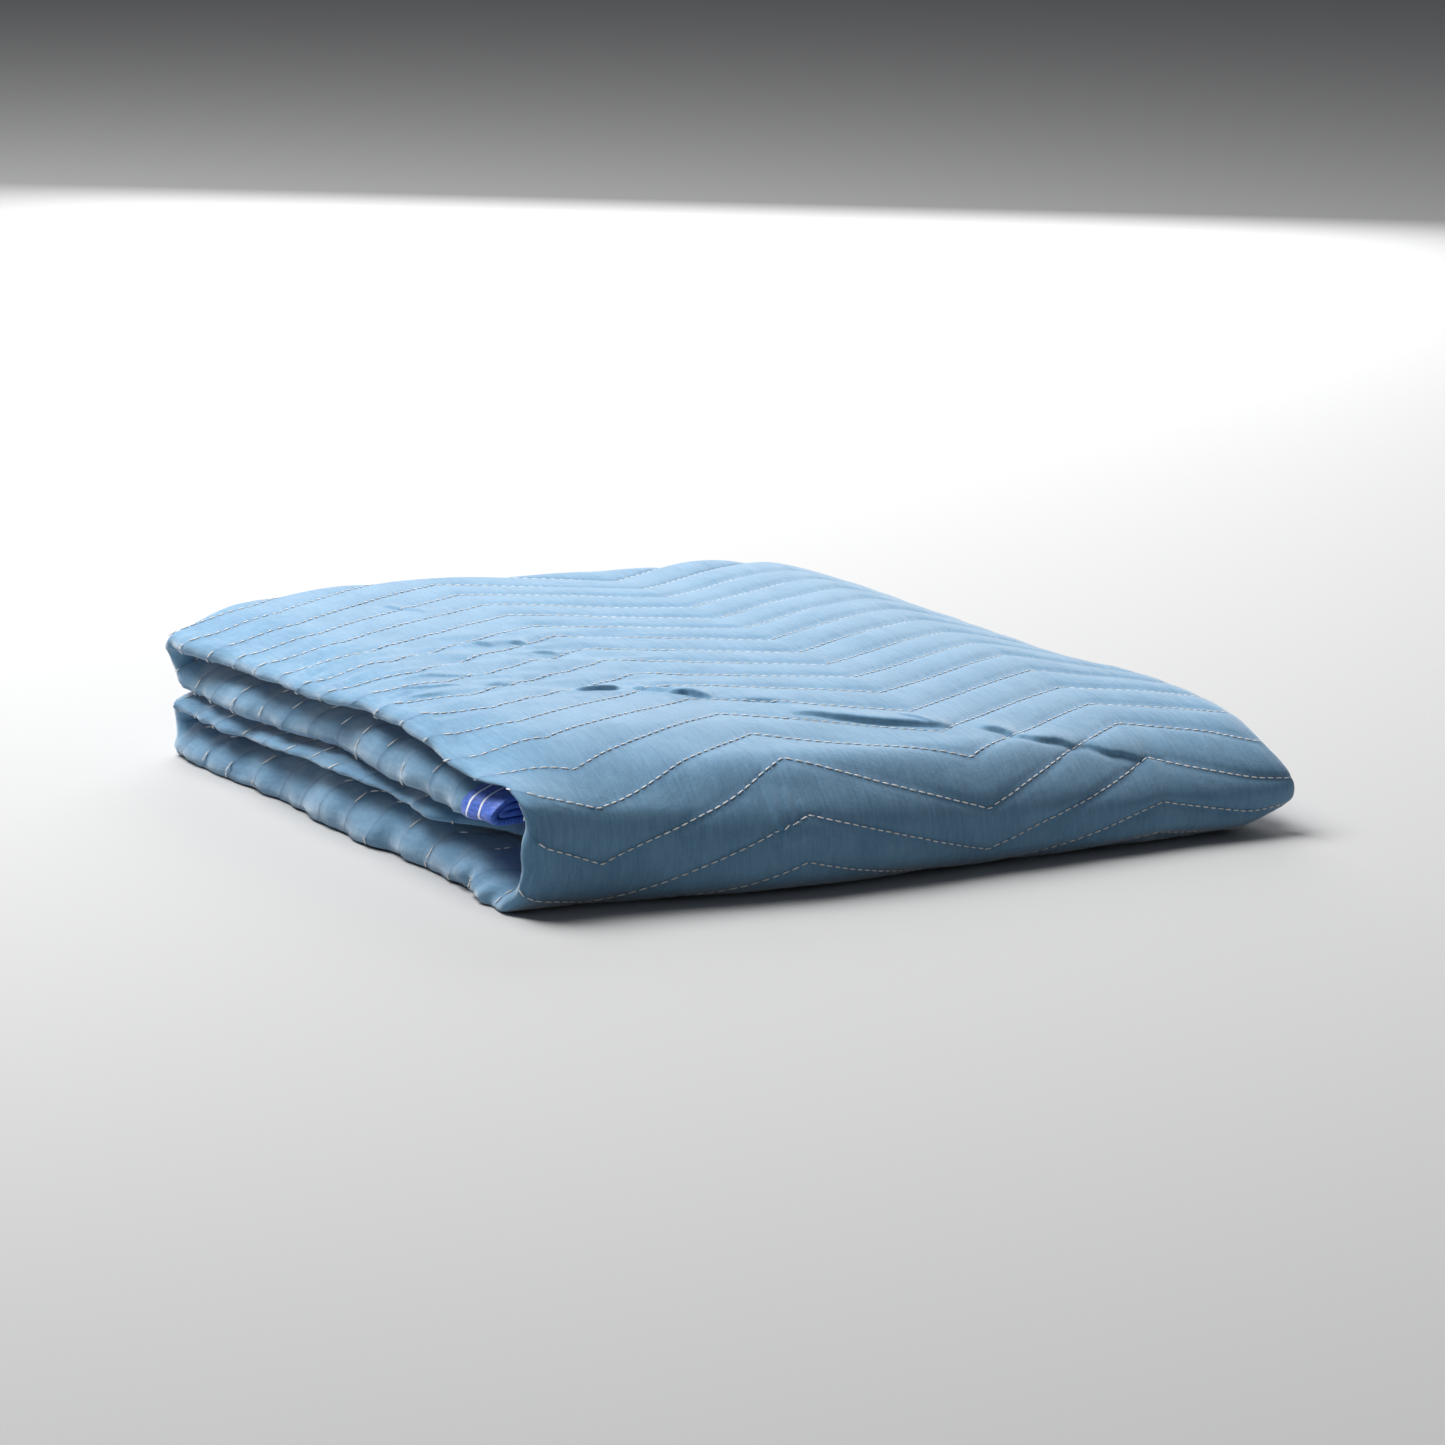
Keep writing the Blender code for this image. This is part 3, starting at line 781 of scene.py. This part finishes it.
def binding(name, fold, stations, section, runs_across, material):
    """A binding tape: its section set at each station of an edge, and folded with the cloth."""
    sides, steps = len(section), len(stations) - 1
    mesh = bmesh.new()
    bmesh.ops.create_grid(mesh, x_segments=sides, y_segments=steps, size=0.5)
    layer = mesh.loops.layers.uv.new("tape")
    flat = {}
    for v in mesh.verts:
        column = round((v.co.x + 0.5) * sides)
        station = stations[round((v.co.y + 0.5) * steps)]
        place, out, inwards = section[column % sides]
        flat[v] = (station, place, out, inwards) if runs_across else (place, station, out, inwards)
    for face in mesh.faces:
        for loop in face.loops:
            values = flat[loop.vert]
            loop[layer].uv = (values[3], values[0] if runs_across else values[1])
    for v in mesh.verts:
        across, along, out, _ = flat[v]
        v.co = fold.place(across, along, out)
    bmesh.ops.remove_doubles(mesh, verts=mesh.verts, dist=WELD)
    bmesh.ops.holes_fill(mesh, edges=[e for e in mesh.edges if e.is_boundary], sides=2 * sides)
    face_outwards(mesh)
    return new_object(name, mesh, material)


# The cloth's patterns, in patches to the metre across and along: streaks of slub 1.9 by 18 mm, mottle 26 by
# 42 mm, puckers 6.7 by 33 mm and soft crumples 18 by 24 mm. The weave's threads are drawn 1.1 mm apart,
# about twice as coarse as real ones, so that they show.
CLOTH_PATTERNS = {
    "slubs": {"scale": (520, 55, 1), "detail": 3.0, "roughness": 0.6},
    "mottle": {"scale": (38, 24, 1), "detail": 3.0, "roughness": 0.5},
    "threads": {"scale": (900, 900, 1), "detail": 1.0, "roughness": 0.5},
    "puckers": {"scale": (150, 30, 1), "detail": 2.0, "roughness": 0.5},
    "crumple": {"scale": (55, 42, 1), "detail": 4.0, "roughness": 0.55},
}
CLOTH_SUMS = {
    "shade": (("mottle", 0.3), ("slubs", 0.45), ("threads", 0.25)),
    "height": (("row puckers", 0.9), ("crumple", 0.75), ("slubs", 0.10), ("threads", 0.06)),
}
CLOTH_RELIEF = 1.5 * MM

# How fast the painted shade of a furrow and the puckers beside it fade, for each millimetre from the row
FURROW_SHADE_FADE = -0.55
PUCKER_FADE = -0.16
NATURAL_BASE = 2.718
FURROW_SHADE_STRENGTH = 0.5

# The tape's ribs, 3.8 by 1.1 mm, coarser than real ones so that they show, and its stripes' places
TAPE_PATTERN = (260, 900, 1)
TAPE_RELIEF = 0.3 * MM
STRIPE_SHARES = (0.2, 0.5)

# The thread's change of tone, in patches of 6.3 mm, about one stitch
THREAD_PATTERN = (160, 160, 160)


def new_material(name):
    """A node material without nodes."""
    made = bpy.data.materials.new(name)
    made.use_nodes = True
    made.node_tree.nodes.clear()
    return made


def add(made, kind, settings=None, values=None, links=None):
    """A node with its settings, its sockets' values and the outputs linked into its sockets."""
    node = made.node_tree.nodes.new(kind)
    for name, value in (settings or {}).items():
        setattr(node, name, value)
    for name, value in (values or {}).items():
        node.inputs[name].default_value = value
    for name, output in (links or {}).items():
        made.node_tree.links.new(output, node.inputs[name])
    return node


def set_ramp(ramp, low, high):
    """A ramp's two ends, each a place and an sRGB hex colour."""
    for element, (place, colour) in zip(ramp.color_ramp.elements, (low, high)):
        element.position = place
        element.color = linear(colour)


def quilt_cloth_material(looks, sizes):
    """Woven polyester and cotton, brushed: soft and matt, with faint slubs and puckers at the rows, and
    painted shade darkening the cloth along each row.
    """
    cloth = new_material("brushed_polyester_cotton_weave")
    place = add(cloth, "ShaderNodeUVMap", {"uv_map": "cloth"}).outputs["UV"]
    parts = add(cloth, "ShaderNodeSeparateXYZ", links={"Vector": place})
    gap = parts.outputs["Y"]
    for operation, number in (
        ("MULTIPLY", 1 / sizes.row_pitch),
        ("PINGPONG", 0.5),
        ("MULTIPLY", sizes.row_pitch / MM),
    ):
        gap = add(cloth, "ShaderNodeMath", {"operation": operation}, {1: number}, {0: gap}).outputs["Value"]
    near = {}
    for name, rate in (("furrow", FURROW_SHADE_FADE), ("pucker", PUCKER_FADE)):
        power = add(cloth, "ShaderNodeMath", {"operation": "MULTIPLY"}, {1: rate}, {0: gap}).outputs["Value"]
        raised = add(cloth, "ShaderNodeMath", {"operation": "POWER"}, {0: NATURAL_BASE}, {1: power})
        near[name] = raised.outputs["Value"]
    found = {}
    for name, row in CLOTH_PATTERNS.items():
        sized = add(cloth, "ShaderNodeMapping", None, {"Scale": row["scale"]}, {"Vector": place})
        pattern = add(
            cloth,
            "ShaderNodeTexNoise",
            values={"Scale": 1.0, "Detail": row["detail"], "Roughness": row["roughness"]},
            links={"Vector": sized.outputs["Vector"]},
        )
        found[name] = pattern.outputs["Fac"]
    at_rows = add(
        cloth,
        "ShaderNodeMath",
        {"operation": "MULTIPLY"},
        links={0: found["puckers"], 1: near["pucker"]},
    )
    found["row puckers"] = at_rows.outputs["Value"]
    sums = {}
    for total, rows in CLOTH_SUMS.items():
        for name, weight in rows:
            links = {0: found[name]}
            if total in sums:
                links[2] = sums[total]
            node = add(cloth, "ShaderNodeMath", {"operation": "MULTIPLY_ADD"}, {1: weight, 2: 0.0}, links)
            sums[total] = node.outputs["Value"]
    tone = add(cloth, "ShaderNodeValToRGB", links={"Fac": sums["shade"]})
    set_ramp(tone, (0.4, looks.cloth_dark), (0.6, looks.cloth_light))
    # Painted shade: the cloth's tone is darkened towards each stitch row, where the furrow lies in shade.
    painted_shade_share = add(cloth, "ShaderNodeMath", {"operation": "MULTIPLY"}, {1: FURROW_SHADE_STRENGTH}, {0: near["furrow"]})
    painted_shade_mix = add(
        cloth,
        "ShaderNodeMix",
        {"data_type": "RGBA"},
        {"B": linear(looks.cloth_furrow_painted_shade)},
        {"Factor": painted_shade_share.outputs["Value"], "A": tone.outputs["Color"]},
    )
    bump = add(
        cloth,
        "ShaderNodeBump",
        values={"Strength": 1.0, "Distance": CLOTH_RELIEF},
        links={"Height": sums["height"]},
    )
    shader = add(
        cloth,
        "ShaderNodeBsdfPrincipled",
        values={
            "Roughness": 0.82,
            "IOR": 1.5,
            "Specular IOR Level": 0.3,
            "Sheen Weight": 0.6,
            "Sheen Roughness": 0.45,
        },
        links={"Base Color": painted_shade_mix.outputs["Result"], "Normal": bump.outputs["Normal"]},
    )
    add(cloth, "ShaderNodeOutputMaterial", links={"Surface": shader.outputs["BSDF"]})
    return cloth


def thread_material(looks):
    """Spun polyester thread: off-white, a little lustrous, its tone faintly uneven from stitch to stitch."""
    thread = new_material("spun_polyester_thread")
    place = add(thread, "ShaderNodeTexCoord").outputs["Object"]
    sized = add(thread, "ShaderNodeMapping", None, {"Scale": THREAD_PATTERN}, {"Vector": place})
    tone = add(
        thread,
        "ShaderNodeTexNoise",
        values={"Scale": 1.0, "Detail": 1.0, "Roughness": 0.5},
        links={"Vector": sized.outputs["Vector"]},
    )
    ramp = add(thread, "ShaderNodeValToRGB", links={"Fac": tone.outputs["Fac"]})
    set_ramp(ramp, (0.35, looks.thread_dark), (0.6, looks.thread_light))
    shader = add(
        thread,
        "ShaderNodeBsdfPrincipled",
        values={"Roughness": 0.6, "IOR": 1.5, "Sheen Weight": 0.7},
        links={"Base Color": ramp.outputs["Color"]},
    )
    add(thread, "ShaderNodeOutputMaterial", links={"Surface": shader.outputs["BSDF"]})
    return thread


def tape_material(looks, sizes):
    """Woven polyester binding tape: royal blue with a low lustre, ribs across it and two white stripes."""
    tape = new_material("woven_polyester_binding_tape")
    place = add(tape, "ShaderNodeUVMap", {"uv_map": "tape"}).outputs["UV"]
    parts = add(tape, "ShaderNodeSeparateXYZ", links={"Vector": place})
    marks = []
    for share in STRIPE_SHARES:
        mark = parts.outputs["X"]
        for operation, number in (
            ("SUBTRACT", share * sizes.tape_width),
            ("ABSOLUTE", 0.0),
            ("LESS_THAN", sizes.stripe / 2),
        ):
            node = add(tape, "ShaderNodeMath", {"operation": operation}, {1: number}, {0: mark})
            mark = node.outputs["Value"]
        marks.append(mark)
    stripes = add(tape, "ShaderNodeMath", {"operation": "ADD"}, links=dict(enumerate(marks)))
    sized = add(tape, "ShaderNodeMapping", None, {"Scale": TAPE_PATTERN}, {"Vector": place})
    weave = add(
        tape,
        "ShaderNodeTexNoise",
        values={"Scale": 1.0, "Detail": 1.0, "Roughness": 0.5},
        links={"Vector": sized.outputs["Vector"]},
    )
    ramp = add(tape, "ShaderNodeValToRGB", links={"Fac": weave.outputs["Fac"]})
    set_ramp(ramp, (0.35, looks.tape_dark), (0.65, looks.tape_light))
    colour = add(
        tape,
        "ShaderNodeMix",
        {"data_type": "RGBA"},
        {"B": linear(looks.stripe)},
        {"Factor": stripes.outputs["Value"], "A": ramp.outputs["Color"]},
    )
    bump = add(
        tape,
        "ShaderNodeBump",
        values={"Strength": 0.6, "Distance": TAPE_RELIEF},
        links={"Height": weave.outputs["Fac"]},
    )
    shader = add(
        tape,
        "ShaderNodeBsdfPrincipled",
        values={"Roughness": 0.55, "IOR": 1.5, "Sheen Weight": 0.1},
        links={"Base Color": colour.outputs["Result"], "Normal": bump.outputs["Normal"]},
    )
    add(tape, "ShaderNodeOutputMaterial", links={"Surface": shader.outputs["BSDF"]})
    return tape


def paper_material(looks):
    """Seamless studio paper: smooth, matt and evenly pale."""
    paper = new_material("seamless_studio_paper")
    values = {"Base Color": linear(looks.paper), "Roughness": 0.95}
    shader = add(paper, "ShaderNodeBsdfPrincipled", values=values)
    add(paper, "ShaderNodeOutputMaterial", links={"Surface": shader.outputs["BSDF"]})
    return paper


class BlanketSizes(bpy.types.PropertyGroup):
    """The blanket's sizes."""

    cut_width: FloatProperty(
        name="Cut width", description="Width of the flat cloth",
        default=2.032, unit="LENGTH",
    )
    cut_length: FloatProperty(
        name="Cut length", description="Length of the flat cloth",
        default=1.829, unit="LENGTH",
    )
    loft: FloatProperty(
        name="Loft", description="Thickness between rows",
        default=3.6 * MM, unit="LENGTH",
    )
    stitched: FloatProperty(
        name="Stitched", description="Thickness at a row",
        default=2.0 * MM, unit="LENGTH",
    )
    bound: FloatProperty(
        name="Bound", description="Thickness inside the tape",
        default=1.2 * MM, unit="LENGTH",
    )
    puff: FloatProperty(
        name="Puff", description="Rise of the shown face between rows",
        default=2.2 * MM, unit="LENGTH",
    )
    row_pitch: FloatProperty(
        name="Row pitch", description="Spacing of the rows",
        default=31.75 * MM, unit="LENGTH",
    )
    zigzag_reach: FloatProperty(
        name="Zigzag reach", description="Half the zigzag's swing",
        default=25 * MM, unit="LENGTH",
    )
    zigzag_slant: FloatProperty(name="Zigzag slant", description="How far the rows lean", default=0.085)
    first_low: FloatProperty(
        name="First low", description="Place of the first point",
        default=47 * MM, unit="LENGTH",
    )
    zigzag_half_period: FloatProperty(
        name="Half period", description="Point to point",
        default=124 * MM, unit="LENGTH",
    )
    tape_width: FloatProperty(
        name="Tape width", description="Width of the tape on a face",
        default=36 * MM, unit="LENGTH",
    )
    tape: FloatProperty(
        name="Tape", description="Thickness of the tape",
        default=1.0 * MM, unit="LENGTH",
    )
    stripe: FloatProperty(
        name="Stripe", description="Width of a stripe of the tape",
        default=1.8 * MM, unit="LENGTH",
    )
    thread: FloatProperty(
        name="Thread", description="Thickness of a stitch",
        default=0.9 * MM, unit="LENGTH",
    )
    stitch_length: FloatProperty(
        name="Stitch", description="Length of a stitch",
        default=4.7 * MM, unit="LENGTH",
    )
    stitch_pitch: FloatProperty(
        name="Stitch pitch", description="Stitch to stitch",
        default=5.5 * MM, unit="LENGTH",
    )


class BlanketLooks(bpy.types.PropertyGroup):
    """The blanket's colours, as sRGB hex values."""

    cloth_light: StringProperty(
        name="Cloth, light", description="Brushed face of the cloth",
        default="#6C97B6",
    )
    cloth_dark: StringProperty(name="Cloth, dark", description="Slubs and hollows", default="#5985A5")
    # Painted shade: the colour that the cloth darkens towards along each row's furrow.
    cloth_furrow_painted_shade: StringProperty(
        name="Cloth, furrow", description="Cloth drawn in at a row",
        default="#3C668B",
    )
    thread_light: StringProperty(name="Thread, light", description="Top of a stitch", default="#FDFCF8")
    thread_dark: StringProperty(name="Thread, dark", description="Duller stitches", default="#EBE7DC")
    tape_light: StringProperty(name="Tape, light", description="Tape's blue", default="#4872D6")
    tape_dark: StringProperty(name="Tape, dark", description="Blue between its ribs", default="#3457B0")
    stripe: StringProperty(name="Stripe", description="The tape's stripes", default="#E9ECF4")
    paper: StringProperty(name="Paper", description="The studio floor", default="#ADADAD")


def find(name):
    """A piece that an earlier step made."""
    return bpy.data.objects[name]


class BLANKET_OT_cloth(bpy.types.Operator):
    """Lay the quilted cloth in its folds"""

    bl_idname = "blanket.cloth"
    bl_label = "Quilted Cloth"

    def execute(self, context):
        scene = context.scene
        material = quilt_cloth_material(scene.blanket_looks, scene.blanket_sizes)
        cloth = quilted_cloth(Fold(scene.blanket_sizes), material)
        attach(cloth, "root")
        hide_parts("quilted_sheet")
        return {"FINISHED"}


class BLANKET_OT_stitching(bpy.types.Operator):
    """Sew the zigzag rows of thread into the cloth"""

    bl_idname = "blanket.stitching"
    bl_label = "Stitching"

    def execute(self, context):
        scene = context.scene
        thread = stitching(Fold(scene.blanket_sizes), thread_material(scene.blanket_looks))
        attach(thread, "root")
        return {"FINISHED"}


class BLANKET_OT_end_bindings(bpy.types.Operator):
    """Bind the two ends of the folded strip, which lie inside the wrap"""

    bl_idname = "blanket.end_bindings"
    bl_label = "End Bindings"

    def execute(self, context):
        scene = context.scene
        fold = Fold(scene.blanket_sizes)
        material = tape_material(scene.blanket_looks, scene.blanket_sizes)
        butt = scene.blanket_sizes.tape_width + TAPE_GAP
        low, high = butt, fold.across_at[7] - butt
        stations = [low] + [u for u in close_lines_across(fold) if low + MM < u < high - MM] + [high]
        for name, edge, inwards in (("upper", 0.0, 1), ("lower", fold.along_at[9], -1)):
            section = tape_section(fold, edge, inwards)
            tape = binding("binding_" + name, fold, stations, section, True, material)
            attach(tape, "root")
            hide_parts("end_binding_" + name)
        return {"FINISHED"}


class BLANKET_OT_side_bindings(bpy.types.Operator):
    """Bind the two long edges, which lie at the closed right side"""

    bl_idname = "blanket.side_bindings"
    bl_label = "Side Bindings"

    def execute(self, context):
        scene = context.scene
        fold = Fold(scene.blanket_sizes)
        material = find("binding_upper").data.materials[0]
        stations = lines_along(fold)
        for name, edge, inwards in (("first", 0.0, 1), ("second", fold.across_at[7], -1)):
            section = tape_section(fold, edge, inwards)
            tape = binding("binding_" + name, fold, stations, section, False, material)
            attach(tape, "root")
            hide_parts("side_binding_" + name)
        return {"FINISHED"}


class BLANKET_OT_declare(bpy.types.Operator):
    """A step that does nothing; the cloth's flat size and the pieces sewn to it are not stated here"""

    bl_idname = "blanket.declare"
    bl_label = "Declare the Cloth"

    def execute(self, context):
        return {"FINISHED"}


# The stage: half the floor's side, the world's light, and the lights' places, sizes and watts
FLOOR_HALF = 8.0
WORLD_COLOUR = "#F4F8FF"
WORLD_STRENGTH = 0.1
LIGHT_TARGET = (0, 0.1, 0)
LIGHTS = (
    {"name": "overhead", "place": (-0.8, 1.4, 2.8), "size": 2.2, "power": 218},
    {"name": "behind", "place": (1.35, 2.3, 0.95), "size": 1.6, "power": 46},
)


class BLANKET_OT_stage(bpy.types.Operator):
    """Set the floor, the soft lights and the camera"""

    bl_idname = "blanket.stage"
    bl_label = "Studio Stage"

    def execute(self, context):
        floor_mesh = bmesh.new()
        bmesh.ops.create_grid(floor_mesh, x_segments=1, y_segments=1, size=FLOOR_HALF)
        floor = new_object("floor", floor_mesh, paper_material(context.scene.blanket_looks))
        world = context.scene.world or bpy.data.worlds.new("studio")
        context.scene.world = world
        context.scene.view_settings.view_transform = "Standard"
        world.use_nodes = True
        background = world.node_tree.nodes["Background"]
        background.inputs["Color"].default_value = linear(WORLD_COLOUR)
        background.inputs["Strength"].default_value = WORLD_STRENGTH
        for row in LIGHTS:
            add_light(context, **row)
        set_camera(context)
        return {"FINISHED"}


def add_light(context, name, place, size, power):
    """A square soft light that faces the blanket."""
    light = bpy.data.lights.new(name, "AREA")
    light.size = size
    light.energy = power
    made = bpy.data.objects.new(name, light)
    made.location = place
    made.visible_camera = False
    made.rotation_euler = (Vector(LIGHT_TARGET) - Vector(place)).to_track_quat("-Z", "Y").to_euler()
    context.scene.collection.objects.link(made)


# The camera's place in millimetres from the stack's front left corner, its lens and its roll
CAMERA_MM = (-1375.5, -2563.4, 735.9)
CAMERA_TARGET_MM = (254, 216, 44)
CAMERA_LENS = 137.5
CAMERA_SENSOR = 36
CAMERA_CLIP_END = 50
CAMERA_ROLL = 0.0238
CORNER_SETBACK = 8 * MM


def set_camera(context):
    """The camera at the photo's place, turned to the blanket's middle."""
    fold = Fold(context.scene.blanket_sizes)
    corner = Vector((fold.shift_x, fold.shift_y + CORNER_SETBACK, 0))
    place = corner + Vector(CAMERA_MM) * MM
    target = corner + Vector(CAMERA_TARGET_MM) * MM
    lens = bpy.data.cameras.new("camera")
    lens.lens = CAMERA_LENS
    lens.sensor_width = CAMERA_SENSOR
    lens.clip_end = CAMERA_CLIP_END
    made = bpy.data.objects.new("camera", lens)
    turn = (target - place).to_track_quat("-Z", "Y").to_matrix() @ Matrix.Rotation(CAMERA_ROLL, 3, "Z")
    made.location = place
    made.rotation_euler = turn.to_euler()
    context.scene.collection.objects.link(made)
    context.scene.camera = made


class BLANKET_PT_sidebar(bpy.types.Panel):
    """The blanket's sizes, colours and steps"""

    bl_idname = "BLANKET_PT_sidebar"
    bl_label = "Folded Moving Blanket"
    bl_space_type = "VIEW_3D"
    bl_region_type = "UI"
    bl_category = "Blanket"

    def draw(self, context):
        layout = self.layout
        for group in (context.scene.blanket_sizes, context.scene.blanket_looks):
            for name in group.bl_rna.properties.keys():
                if name not in ("rna_type", "name"):
                    layout.prop(group, name)
        for step in STEPS:
            layout.operator(step.bl_idname)


STEPS = (
    BLANKET_OT_cloth,
    BLANKET_OT_stitching,
    BLANKET_OT_end_bindings,
    BLANKET_OT_side_bindings,
    BLANKET_OT_declare,
    BLANKET_OT_stage,
)
CLASSES = (BlanketSizes, BlanketLooks) + STEPS + (BLANKET_PT_sidebar,)


def register():
    for entry in CLASSES:
        bpy.utils.register_class(entry)
    bpy.types.Scene.blanket_sizes = PointerProperty(type=BlanketSizes)
    bpy.types.Scene.blanket_looks = PointerProperty(type=BlanketLooks)


def unregister():
    del bpy.types.Scene.blanket_looks
    del bpy.types.Scene.blanket_sizes
    for entry in reversed(CLASSES):
        bpy.utils.unregister_class(entry)


def main():
    register()
    bpy.ops.blanket.cloth()
    bpy.ops.blanket.stitching()
    bpy.ops.blanket.end_bindings()
    bpy.ops.blanket.side_bindings()
    bpy.ops.blanket.declare()
    bpy.ops.blanket.stage()


if __name__ == "__main__":
    main()
